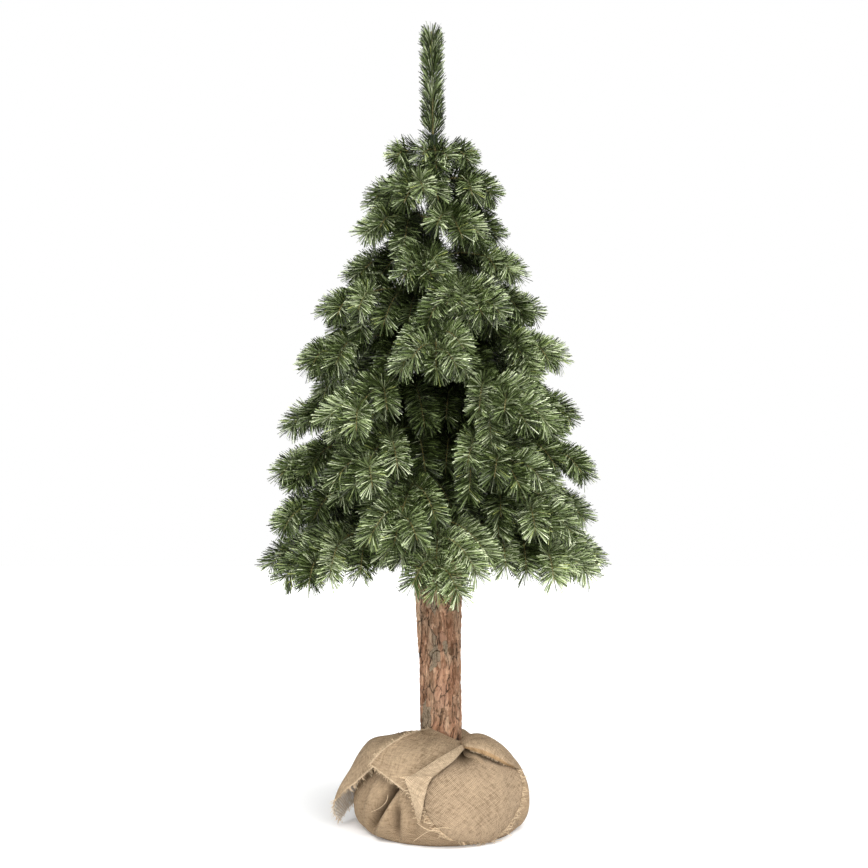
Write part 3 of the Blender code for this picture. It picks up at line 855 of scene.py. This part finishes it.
def patch_strength(patches, azimuth, height, radius):
    """1 in the middle of any of the patches, down to 0 outside."""
    best = 0.0
    for patch in patches:
        off = (azimuth - radians(patch.azimuth) + pi) % tau - pi
        far = hypot(off * radius / patch.across, (height - patch.height) / patch.up)
        best = max(best, 1.35 - far)
    return clamped(best)


def log_at(azimuth, height):
    """The solid log there: its radius, its lean, and how much bark there is."""
    bark = clamped((height - LOG_BARE_HEIGHT) / LOG_BARE_BLEND)
    thick = clamped((height - LOG_BARK_HEIGHT) / LOG_BARK_BLEND)
    radius = LOG_FOOT_RADIUS + bark * (LOG_RADIUS - LOG_FOOT_RADIUS)
    radius += thick * (LOG_TOP_RADIUS - LOG_RADIUS)
    lean = LEAN_BOTTOM_X * bark * (height - LOG_BARE_HEIGHT) / (POLE_BOTTOM - LOG_BARE_HEIGHT)
    ridges = BARK_RIDGE * cos(3 * azimuth + 7 * height) + BARK_FURROW * cos(7 * azimuth)
    return radius + bark * ridges, lean, bark


def scaled(place, scale):
    """A place with each coordinate times its own scale."""
    return Vector(value * times for value, times in zip(place, scale))


def bark_at(place):
    """The bark there: relief, tone, 0 in a crack to 1 off it, and its flake's middle."""
    warp = noise.noise_vector(scaled(place, WARP)) * WARP_SIZE
    fibre = noise.fractal(scaled(place, FIBRES), 0.6, 2.2, 4)
    height, tone, clear = 0.16 + 0.14 * fibre, 0.0, 1.0
    for number, layer in enumerate(LAYERS):
        spot = Vector(((place.x + warp.x) / layer.wide + 5 * number, (place.y + warp.y) / layer.wide,
                       (place.z + 3 * warp.z) / layer.tall))
        near, cells = noise.voronoi(spot)
        own = noise.noise(cells[0] * 5.3) * 0.6 + 0.5
        edge = min((near[1] - near[0]) / (layer.crack * (0.5 + own)), 1.0) ** 0.7
        height += layer.relief * edge * (0.45 + 0.75 * own)
        tone += layer.tone * own
        clear *= 1 - layer.dark * (1 - edge)
        if number == FLAKES:
            flake = Vector(((cells[0].x - 5 * number) * layer.wide, cells[0].y * layer.wide,
                            cells[0].z * layer.tall))
    return min(max(height, 0.0), 1.2), clamped(tone), clear, flake


def build_log():
    """The log as one closed mesh with furrowed bark."""
    points, looks = [], []
    for i in range(LOG_ALONG):
        height = LOG_BOTTOM + (LOG_TOP - LOG_BOTTOM) * i / (LOG_ALONG - 1)
        for k in range(LOG_AROUND):
            azimuth = tau * k / LOG_AROUND
            radius, lean, bark = log_at(azimuth, height)
            bump, plate, crack, flake = bark_at(polar(radius, azimuth, height))
            strip = patch_strength((LOOSE_STRIP,), azimuth, height, radius)
            strip = min(strip * STRIP_EDGE, 1.0)
            crack *= 1 - 3.6 * strip * (1 - strip)
            out = bark * ((bump - FURROW_LEVEL) * FURROW + STRIP_LIFT * strip)
            points.append(polar(radius + out, azimuth, height) + Vector((lean, 0, 0)))
            spot = (atan2(flake.y, flake.x), flake.z, radius)
            looks.append((crack, plate + STRIP_LIGHT * strip, patch_strength(LICHEN, *spot),
                          patch_strength(FRESH, *spot)))
    faces = tube_faces(LOG_ALONG, LOG_AROUND)
    log = faces_object("pine_log", points, *faces, [bark_material()], smooth=True)
    for name, values in zip(("crack", "plate", "lichen", "fresh"), zip(*looks)):
        float_attribute(log, name, values)
    return keep(log, "bark", "trunk_log")


# ---- the burlap wrap

WRAP_AROUND = 500
WRAP_ALONG = 96
WRAP_CLOTH = (1.10, 0.32)  # the cloth round the bag and up its side
CLOTH_THICK = 0.0012
# The two rings inside the mouth: radius, and depth below it.
MOUTH = ((SOCKET_TOP_RADIUS, LIP_DEPTH), (LOG_FOOT_RADIUS + 0.001, NECK_DEPTH))

Fold = namedtuple("Fold", "top bottom low high depth width")
# Deep folds in the wrap: the azimuths of their ends, the stretch of the profile they take,
# their depth, and their half width in degrees.
FOLDS = (Fold(267, 208, 0.07, 0.62, 0.046, 3.8), Fold(244, 238, 0.04, 0.46, 0.020, 2.8),
         Fold(224, 199, 0.05, 0.62, 0.012, 3.6), Fold(292, 290, 0.52, 1.02, 0.034, 6.5),
         Fold(256, 252, 0.04, 0.40, 0.006, 3.5),
         Fold(20, 14, 0.05, 0.80, 0.012, 5.0), Fold(50, 60, 0.10, 0.90, 0.014, 5.0),
         Fold(88, 82, 0.05, 0.70, 0.009, 4.5), Fold(116, 126, 0.15, 0.92, 0.015, 5.5),
         Fold(146, 152, 0.05, 0.75, 0.010, 4.5), Fold(172, 168, 0.10, 0.80, 0.008, 4.0),
         Fold(345, 338, 0.05, 0.70, 0.008, 5.0))
FOLD_BLEND = 0.16  # a fold fades over this stretch of the profile at its ends
FOLD_ROLL = 0.30  # how high the cloth rolls up beside it, as a share of its depth
SLACK = Fold(192, 192, 0.30, 1.10, 0.016, 24)  # where the bag sinks in under its drape
SLACK_BLEND = 0.3
# The folds that get painted shade.
SHADED_FOLDS = ((FOLDS[0], 1.0), (FOLDS[1], 0.55))  # the folds with little light, and how dark
GATHER_FROM = 0.55  # above this the cloth is gathered towards its mouth
GATHER_HEIGHT = 0.0035
CRUMPLE_HEIGHT = 0.0026


def fold_place(fold, azimuth, along):
    """How much of a fold is there, and how many degrees off it the place lies."""
    reach = clamped((along - fold.low) / FOLD_BLEND)
    reach *= clamped((fold.high - along) / FOLD_BLEND)
    middle = fold.bottom + (fold.top - fold.bottom) * along
    return reach, (degrees(azimuth) - middle + 180) % 360 - 180


def painted_fold_shade(azimuth, along):
    """How much painted shade a place gets in a deep fold, from 0 to 1."""
    best = 0.0
    for fold, dark in SHADED_FOLDS:
        reach, off = fold_place(fold, azimuth, along)
        near = exp(-(off / (0.85 * fold.width)) ** 2)
        best = max(best, dark * reach * near * min(3.5 * along, 1.0))
    return best


def fine_folds(azimuth, along):
    """The deep folds and the mouth's gathers, on top of the solid's own."""
    off = (degrees(azimuth) - SLACK.top) / SLACK.width
    sunk = clamped((along - SLACK.low) / SLACK_BLEND) * SLACK.depth
    out = -sunk * exp(-off ** 2)
    for fold in FOLDS:
        reach, off = fold_place(fold, azimuth, along)
        out -= fold.depth * reach * exp(-abs(off / fold.width) ** 1.3)
        side = (off - 2.0 * fold.width) / (1.3 * fold.width)
        out += FOLD_ROLL * fold.depth * reach * exp(-side * side)
    gather = max(along - GATHER_FROM, 0.0) / (1 - GATHER_FROM)
    out += GATHER_HEIGHT * gather * sin(23 * azimuth + 1.8 * sin(3 * azimuth))
    crumple = noise.fractal(polar(1.6, azimuth, 2.7 * along), 0.8, 2.1, 4)
    return out + CRUMPLE_HEIGHT * crumple * min(along / 0.08, 1.0)


def foot_point(azimuth, along, fine=True):
    """A point on the wrap from its azimuth and its place along the profile."""
    radius, height = smooth_curve(FOOT_PROFILE, along)
    r0, z0 = smooth_curve(FOOT_PROFILE, max(along - PROFILE_STEP, 0.0))
    r1, z1 = smooth_curve(FOOT_PROFILE, min(along + PROFILE_STEP, 1.0))
    length = hypot(r1 - r0, z1 - z0)
    folds = sum(wave.height * cos(wave.count * azimuth + wave.phase) for wave in WAVES)
    out = folds * sin(pi * min(along, FOLDS_END))
    if fine:
        out += fine_folds(azimuth, along)
    return polar(radius + out * (z1 - z0) / length, azimuth,
                 max(height - out * (r1 - r0) / length, 0.0))


def wrap_grid(rows, columns, fine):
    """The wrap's points, row by row from the floor to the mouth."""
    return [foot_point(tau * k / columns, i / (rows - 1), fine)
            for i in range(rows) for k in range(columns)]


def build_wrap(cloth):
    """The bag round the foot, from the floor up to its mouth round the log."""
    points = wrap_grid(WRAP_ALONG, WRAP_AROUND, True)
    azimuths = [tau * k / WRAP_AROUND for k in range(WRAP_AROUND)]
    for radius, depth in MOUTH:
        height = FOOT_PROFILE[-1][1] - depth
        points += [polar(radius, azimuth, height) for azimuth in azimuths]
    rows = np.array(points).reshape(-1, WRAP_AROUND, 3)
    steps = np.linalg.norm(rows - np.roll(rows, 1, axis=1), axis=2)
    flat = np.hypot(rows[..., 0], rows[..., 1]).mean(1, keepdims=True) * tau / WRAP_AROUND
    across = np.cumsum(np.maximum(steps / flat, 1.0), axis=1) * WRAP_CLOTH[0] / WRAP_AROUND
    across -= across[:, [int(FOLDS[0].bottom / 360 * WRAP_AROUND)]]
    up = np.linspace(0.0, WRAP_CLOTH[1], len(rows))
    # Painted shade in the deep folds, kept as the 'fold' attribute.
    shades = [painted_fold_shade(azimuth, i / (WRAP_ALONG - 1))
              for i in range(len(rows)) for azimuth in azimuths]
    faces = tube_faces(len(rows), WRAP_AROUND, closed_top=False)
    wrap = faces_object("burlap_wrap", points, *faces, [cloth], smooth=True)
    cloth_map(wrap, np.stack(np.broadcast_arrays(across, up[:, None]), -1))
    float_attribute(wrap, "fold", shades)
    return keep(wrap, "burlap", "burlap_foot")


def metres(*points):
    """Points given in millimetres."""
    return tuple(tuple(value / 1000 for value in point) for point in points)


# Each flap lies between two edges, given at the plane of the picture through the tree's axis:
# x, z, and the height above the wrap. Then come how high it bulges and its left edge turns up,
# its grid, its weave's angle, its cloth and that of the band along its frayed sides, which sides
# are frayed, the width of that band, the usual length of their threads, and the share without any.
Flap = namedtuple("Flap", "left right bulge curl rows columns bias cloths frayed worn fringe clean")
FLAPS = {
    "panel": Flap(
        metres((47, 167, 5), (11, 127, 6), (-20, 100, 6), (-38, 62, 6), (-29, 19, 7), (7, -21, 7),
               (36, -38, 6)),
        metres((92, 172, 4), (132, 151, 4), (166, 127, 5), (182, 91, 6), (175, 42, 7),
               (146, -8, 7), (110, -40, 6)),
        0.002, 0.0, 90, 70, 40, ("jute_flaps", "jute_flaps"), "left right end", 2, 0.015, 0.0),
    "front_flap": Flap(
        metres((-27, 217, 8), (-83, 199, 20), (-128, 172, 26), (-162, 136, 30)),
        metres((54, 181, 6), (11, 151, 9), (-31, 122, 10), (-67, 62, 9)),
        0.004, 0.010, 70, 60, 20, ("jute_upper", "jute_raw_edge_painted_highlight"), "left end", 2, 0.005, 0.0),
    "pointed_flap": Flap(
        metres((54, 183, 12), (-7, 147, 24), (-63, 111, 28), (-81, 104, 28), (-67, 62, 22),
               (-54, 12, 16)),
        metres((53, 171, 10), (28, 142, 18), (-7, 116, 18), (-22, 102, 17), (-34, 71, 16),
               (-45, 12, 13)),
        0.004, 0.0, 90, 30, 55, ("jute_pale", "jute_raw_edge_painted_highlight"), "left end", 1, 0.007, 0.56),
    "right_fold": Flap(
        metres((40, 185, 4), (61, 201, 10), (92, 203, 10), (128, 185, 9), (157, 158, 8),
               (179, 122, 6)),
        metres((52, 172, 10), (70, 166, 18), (96, 157, 20), (119, 147, 18), (141, 136, 14),
               (166, 127, 8)),
        0.017, 0.0, 70, 40, 15, ("jute_upper", "jute_hem"), "right", 8, 0.004, 0.15),
}
FLAP_RIPPLE = 0.0028
RIPPLES = 22  # per metre
CURL_WIDTH = 0.10  # share of a flap's width that its turned-up edge takes
# The drape's own points, row by row from the mouth out to its hanging end, front to back.
DRAPE = (
    metres((-82, -60, 209), (-87, -20, 205), (-93, 30, 199), (-99, 80, 188)),
    metres((-125, -85, 174), (-135, -40, 192), (-147, 20, 190), (-145, 80, 140)),
    metres((-153, -80, 142), (-169, -30, 172), (-176, 30, 160), (-166, 65, 52)),
    metres((-187, -65, 110), (-197, -30, 135), (-202, 15, 112), (-192, 50, 38)),
    metres((-212, -55, 90), (-221, -35, 103), (-224, 0, 72), (-213, 35, 26)),
    metres((-230, -50, 72), (-239, -40, 62), (-238, -20, 34), (-228, 5, 10)),
)
DRAPE_ROWS = 70
DRAPE_COLUMNS = 48
DRAPE_RIPPLE = 0.003
DRAPE_FRAY = 0.009  # usual length of its frayed threads
# Loose threads, as the flaps' edges.
THREADS = (
    metres((-119, 66, 6), (-123, 51, 10), (-137, 37, 8), (-157, 28, 4)),
    metres((31, -10, 8), (-2, -8, 10), (-34, -19, 8), (-63, -39, 6)),
    metres((-54, 3, 10), (-38, -8, 12), (-20, -15, 9), (-2, -10, 7)),
)
THREAD_STEPS = 24
THREAD_RADIUS = 0.0006
FRAY_PITCH = 0.0011
# Where the panel dips beside the log, out of the light: it sinks into the wrap there, and painted
# shade darkens it.
Dip = namedtuple("Dip", "x z depth width")
DIP = Dip(0.051, 0.156, 0.028, 0.020)
# Painted shade on the front flap beside the pointed flap.
PAINTED_SHADE_BESIDE_POINTED = 0.42  # how dark the front flap is beside the pointed flap
PAINTED_SHADE_WIDTH = 0.17  # and over what share of its width
LAID_ROWS = 60  # the plain wrap that the flaps are laid on
LAID_COLUMNS = 140
RAY_START = 2.6  # distance from the camera
RAY_STEPS = 60
RAY_NEAR = 0.0002
RAY_LEAST = 0.0008


def laid_at(tree, x, z, lift, sink=0.0):
    """The place seen at x, z of the picture plane, lifted off the wrap or sunk into it."""
    ray = (Vector((x, 0, z)) - CAMERA).normalized()
    travel, nearest = RAY_START, (1.0, None)
    for _ in range(RAY_STEPS):
        place = CAMERA + ray * travel
        gap = tree.find_nearest(place)[3] - lift
        if place.z > FOOT_PROFILE[-1][1]:
            gap = min(gap, hypot(place.x, place.y) - LOG_RADIUS - LOG_CLEAR)
        nearest = min(nearest, (gap, place), key=lambda found: found[0])
        if gap < RAY_NEAR:
            break
        travel += max(gap, RAY_LEAST)
    place = nearest[1] + ray * sink
    place.z = max(place.z, CLOTH_THICK)
    return place


def cloth_object(name, grid, cloths, bias, sides, worn, shades=None):
    """A thick sheet through a grid of points, its weave turned by some degrees.

    The cloths are its own, that of a band of faces along some of its sides, and the two of its
    underside if they differ.
    """
    rows, columns = len(grid), len(grid[0])
    points = np.array(grid)
    down, over = (running(np.linalg.norm(np.diff(points, axis=axis), axis=2).mean(1 - axis))
                  for axis in (0, 1))
    u, v = np.meshgrid(over, down)
    turn = radians(bias)
    places = np.stack([u * cos(turn) - v * sin(turn),
                       u * sin(turn) + v * cos(turn)], -1)
    corners = grid_corners(rows, columns, False)
    kinds = np.zeros((rows - 1, columns - 1), int)
    faces = {"left": np.s_[:, :worn], "right": np.s_[:, -worn:], "end": np.s_[-worn:, :]}
    for side in sides.split():
        kinds[faces[side]] = 1
    sheet = faces_object(name, points.reshape(-1, 3), corners, [4] * len(corners), cloths,
                         kinds.ravel(), smooth=True)
    cloth_map(sheet, places)
    # Painted shade, kept as the 'fold' attribute.
    if shades:
        float_attribute(sheet, "fold", shades)
    thick = sheet.modifiers.new("thickness", "SOLIDIFY")
    thick.thickness = CLOTH_THICK
    thick.offset = 0.0
    thick.material_offset = 2 * (len(cloths) > 2)
    return keep(sheet, "burlap")


def grid_edges(grid):
    """Each side of a grid that can fray, with the line of points beside it."""
    return {"left": ([row[0] for row in grid], [row[1] for row in grid]),
            "right": ([row[-1] for row in grid], [row[-2] for row in grid]),
            "end": (grid[-1], grid[-2])}


def fray(edge, inner, rng, fringe, clean=0.0):
    """Frayed threads out from an edge past its clean share, each with three stations."""
    edge, inner = (np.array(line)[int(clean * len(line)):] for line in (edge, inner))
    run = line_run(edge)
    count = int(run[-1] / FRAY_PITCH)
    place = rng.uniform(0, run[-1], count)
    root = at_places(place, run, edge)
    out = unit(root - at_places(place, run, inner)) + rng.normal(0, 0.28, (count, 3))
    size = fringe * rng.uniform(0.2, 1.3, count)[:, None]
    middle = root + out * size * 0.6
    tip = middle + (out + rng.normal(0, 0.5, (count, 3))) * size * 0.4
    for place in (middle, tip):
        place[:, 2] = np.maximum(place[:, 2], 2 * THREAD_RADIUS)
    width = unit(rng.normal(0, 1, (count, 3))) * THREAD_RADIUS
    return np.stack([place + way * width for place in (root, middle, tip) for way in (-1, 1)], 1)


def painted_flap_shade(name, x, z, across):
    """How much painted shade a place on a flap gets, from 0 to 1: in the panel's dip and beside the
    pointed flap.
    """
    if name == "panel":
        off = hypot(x - DIP.x, z - DIP.z) / DIP.width
        return exp(-off * off)
    if name == "front_flap":
        return PAINTED_SHADE_BESIDE_POINTED * exp(-((1 - across) / PAINTED_SHADE_WIDTH) ** 2)
    return 0.0


def flap_grid(tree, name, flap):
    """A flap's points, row by row from the mouth down, and the painted shade of each of them."""
    grid, shades = [], []
    for i in range(flap.rows):
        t = i / (flap.rows - 1)
        left, right = (np.array(smooth_curve(side, t)) for side in (flap.left, flap.right))
        row = []
        for k in range(flap.columns):
            across = k / (flap.columns - 1)
            x, z, lift = left + (right - left) * across
            shade = painted_flap_shade(name, x, z, across)
            ripple = noise.fractal(Vector((x * RIPPLES, z * RIPPLES, len(name))), 0.8, 2.1, 4)
            lift += flap.bulge * sin(pi * across) * sin(pi * t) ** 0.5
            lift += flap.curl * exp(-(across / CURL_WIDTH) ** 2) * min(4 * t, 1.0)
            lift += FLAP_RIPPLE * ripple
            row.append(laid_at(tree, x, z, lift, DIP.depth * shade if name == "panel" else 0.0))
            shades.append(shade)
        grid.append(row)
    return grid, shades


def drape_grid():
    """The drape's points, row by row from the mouth out."""
    grid = []
    for i in range(DRAPE_ROWS):
        lines = [smooth_curve(line, i / (DRAPE_ROWS - 1)) for line in zip(*DRAPE)]
        row = [Vector(smooth_curve(lines, k / (DRAPE_COLUMNS - 1))) for k in range(DRAPE_COLUMNS)]
        grid.append([point + noise.noise_vector(point * RIPPLES) * DRAPE_RIPPLE for point in row])
    return grid


def build_flaps(cloths):
    """The cloth's corners, turned out over the bag, with frayed edges and loose threads."""
    rng = np.random.default_rng(SEED)
    tree = BVHTree.FromPolygons(wrap_grid(LAID_ROWS, LAID_COLUMNS, False),
                                grid_corners(LAID_ROWS, LAID_COLUMNS, True).tolist())
    frayed = []
    for name, flap in FLAPS.items():
        grid, shades = flap_grid(tree, name, flap)
        cloth_object("burlap_" + name, grid, [cloths[cloth] for cloth in flap.cloths], flap.bias,
                     flap.frayed, flap.worn, shades)
        edges = grid_edges(grid)
        frayed += [fray(*edges[side], rng, flap.fringe, flap.clean * (side != "end"))
                   for side in flap.frayed.split()]
    grid = drape_grid()
    # The drape's underside takes the paler cloth, with painted light.
    sides = ("jute_upper", "jute_raw_edge_painted_highlight", "jute_under_painted_light", "jute_under_painted_light")
    cloth_object("burlap_left_drape", grid, [cloths[side] for side in sides], 10, "left end", 2)
    frayed += [fray(*edge, rng, DRAPE_FRAY) for edge in grid_edges(grid).values()]
    strands = plain("jute_strands", (0.640, 0.490, 0.320), 0.9)
    sets = [(corners, np.zeros(len(corners), int)) for corners in frayed]
    keep(strips_object("frayed_edges", sets, [strands]), "burlap")
    tubes = []
    for thread in THREADS:
        line = [laid_at(tree, *smooth_curve(thread, i / THREAD_STEPS))
                for i in range(THREAD_STEPS + 1)]
        tubes.append(tube(np.array(line), THREAD_RADIUS, THREAD_RADIUS))
    keep(tubes_object("loose_threads", tubes, [strands]), "burlap")


# ---- studio


def build_studio():
    """A white floor, soft light and the camera."""
    bpy.ops.mesh.primitive_plane_add(size=FLOOR_SIZE, location=(0, 0, FLOOR_LEVEL))
    floor = bpy.context.object
    floor.name = "floor"
    floor.data.materials.append(plain("white floor", (0.88, 0.88, 0.88), 0.9,
                                      Emission_Color=WHITE, Emission_Strength=FLOOR_GLOW))
    world = bpy.data.worlds.new("studio")
    bpy.context.scene.world = world
    world.use_nodes = True
    tree = world.node_tree
    soft = tree.nodes["Background"]
    white = tree.nodes.new("ShaderNodeBackground")
    for light in (soft, white):
        light.inputs["Color"].default_value = WHITE
    soft.inputs["Strength"].default_value = AMBIENT
    mixer = tree.nodes.new("ShaderNodeMixShader")
    path = tree.nodes.new("ShaderNodeLightPath")
    tree.links.new(path.outputs["Is Camera Ray"], mixer.inputs[0])
    tree.links.new(soft.outputs[0], mixer.inputs[1])
    tree.links.new(white.outputs[0], mixer.inputs[2])
    tree.links.new(mixer.outputs[0], tree.nodes["World Output"].inputs[0])
    sun = bpy.data.lights.new("softbox", "SUN")
    sun.energy = SUN
    sun.angle = radians(SUN_SPREAD)
    add_object("softbox", sun).rotation_euler = Vector(SUN_FROM).to_track_quat("Z", "Y").to_euler()
    camera = bpy.data.cameras.new("camera")
    camera.sensor_width = SENSOR
    camera.lens = LENS
    viewer = add_object("camera", camera)
    viewer.location = CAMERA
    viewer.rotation_euler = (radians(90), 0, 0)
    bpy.context.scene.camera = viewer
    bpy.context.scene.view_settings.view_transform = "Standard"


# ---- the whole

# The cloths' light and dark threads.
CLOTHS = {
    "jute_flaps": ((0.448, 0.330, 0.214), (0.266, 0.184, 0.112)),
    "jute_upper": ((0.535, 0.394, 0.252), (0.322, 0.222, 0.132)),
    # The pale cloth of the frayed edges is a raw edge, and partly a painted highlight where a raised
    # edge catches the light.
    "jute_raw_edge_painted_highlight": ((0.760, 0.580, 0.390), (0.540, 0.400, 0.255)),
    "jute_pale": ((0.640, 0.486, 0.324), (0.442, 0.326, 0.206)),
    "jute_hem": ((0.520, 0.340, 0.180), (0.330, 0.205, 0.100)),
}

build_studio()
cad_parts["pole"].data.materials.clear()
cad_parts["pole"].data.materials.append(steel_material())
build_crown()
build_log()
build_wrap(burlap_material("jute", (0.485, 0.353, 0.223), (0.270, 0.182, 0.104), slub=0.42))
cloths = {name: burlap_material(name, *threads) for name, threads in CLOTHS.items()}
# Painted light: the drape's underside is far paler than the jute round it, standing in for light
# that comes through the cloth and bounces up from the floor.
cloths["jute_under_painted_light"] = burlap_material("jute_under_painted_light", (0.980, 0.890, 0.760), (0.720, 0.630, 0.520),
                                       0.0056, slub=1.1, holes=0.50)
build_flaps(cloths)
